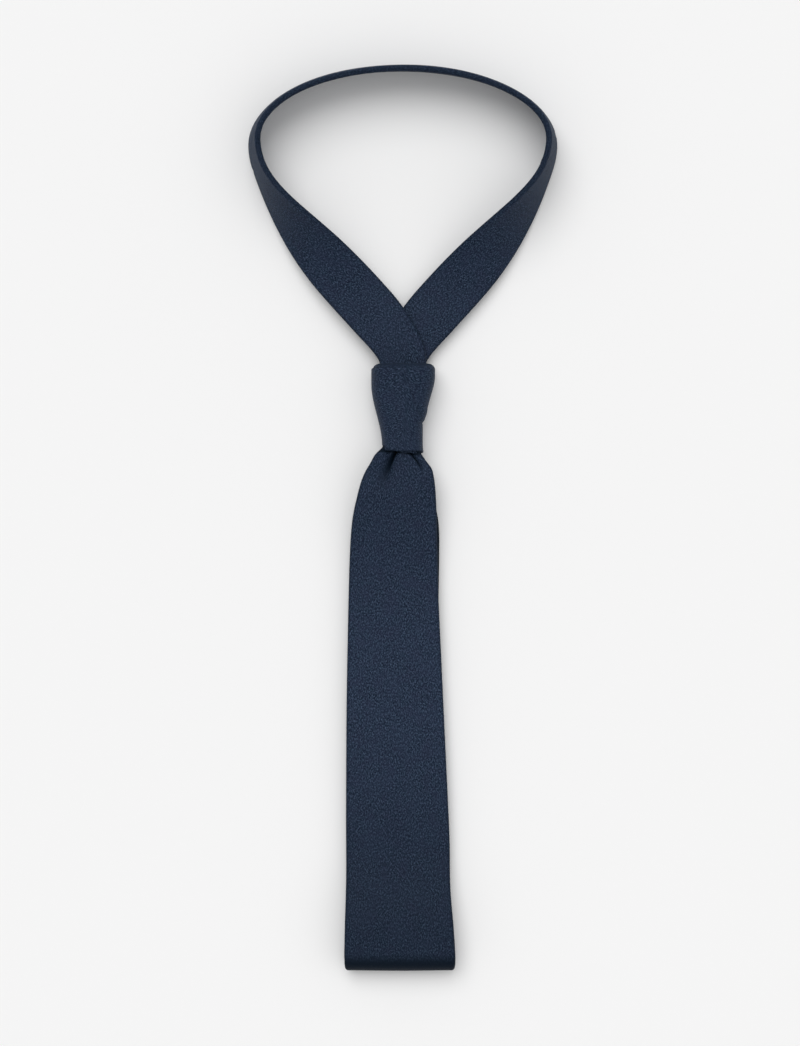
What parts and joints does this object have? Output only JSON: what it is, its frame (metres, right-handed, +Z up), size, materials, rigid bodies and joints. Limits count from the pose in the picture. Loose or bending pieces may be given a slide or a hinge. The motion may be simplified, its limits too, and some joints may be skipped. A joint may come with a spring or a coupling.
{
  "type": "slim necktie",
  "caption": "Plain slim necktie tied in a four-in-hand knot and laid flat, with its neck loop, hanging tail and the front blade's tip folded under.",
  "frame": {"origin": "on the surface the tie lies on, under the middle of the knot's back", "axes": "+X across the tie, to the right when its front is seen with the neck loop away from the viewer; +Y along the tie towards the neck loop; +Z up from the surface, out of the tie's front"},
  "size_m": [0.1614, 0.472, 0.0283],
  "materials": {
    "navy_silk": "fine bias twill, matt sheen",
    "wool_interlining": "brushed woven wool",
    "lining_silk": "smooth lining twill",
    "sewing_thread": "twisted thread",
    "label_satin": "plain satin"
  },
  "bodies": {
    "tail": {"tail_shell": "navy_silk", "tail_interlining": "wool_interlining", "tail_tipping": "lining_silk", "tail_bar_tack": "sewing_thread", "tail_slip_stitch": "sewing_thread", "crossing_leg_shell": "navy_silk", "crossing_leg_interlining": "wool_interlining"},
    "neck_loop": {"neck_tail_side_shell": "navy_silk", "neck_panel_shell": "navy_silk", "neck_blade_side_shell": "navy_silk", "neck_interlining": "wool_interlining"},
    "knot": {"knot_front_band": "navy_silk", "knot_back_wrap": "navy_silk", "knot_front_interlining": "wool_interlining", "knot_back_interlining": "wool_interlining", "knot_inner_wrap": "navy_silk", "knot_top_fold": "navy_silk"},
    "front_blade": {"throat_shell": "navy_silk", "throat_interlining": "wool_interlining", "blade_shell": "navy_silk", "blade_interlining": "wool_interlining", "keeper_loop": "navy_silk", "keeper_tacks": "sewing_thread", "blank_label": "label_satin", "blade_slip_stitch": "sewing_thread", "blade_bar_tack": "sewing_thread"},
    "fold": {"fold_shell": "navy_silk", "fold_interlining": "wool_interlining"},
    "blade_tip": {"tip_shell": "navy_silk", "tip_interlining": "wool_interlining", "tip_tipping": "lining_silk"}
  },
  "joints": [
    {"name": "loop_tilt", "type": "hinge", "parent": "tail", "child": "neck_loop", "pos_m": [0, 0.0251, 0.0106], "axis": [1, 0, 0], "range_deg": [0, 75]},
    {"name": "knot_slide", "type": "slide", "parent": "tail", "child": "knot", "axis": [0, -1, 0], "range_m": [0, 0.018]},
    {"name": "blade_lift", "type": "hinge", "parent": "knot", "child": "front_blade", "pos_m": [0, -0.0225, 0.0158], "axis": [-1, 0, 0], "range_deg": [0, 100], "deforming": ["throat_shell", "throat_interlining"]},
    {"name": "tip_unfold", "type": "hinge", "parent": "front_blade", "child": "fold", "pos_m": [0, -0.28813, 0.01213], "axis": [-1, 0, 0], "range_deg": [0, 90], "deforming": ["fold_shell", "fold_interlining"]},
    {"name": "tip_follow", "type": "hinge", "parent": "fold", "child": "blade_tip", "pos_m": [0, -0.28813, 0.00287], "axis": [-1, 0, 0], "range_deg": [0, 90]}
  ],
  "couplings": [
    {"joint": "tip_follow", "follows": "tip_unfold", "ratio": 1}
  ]
}
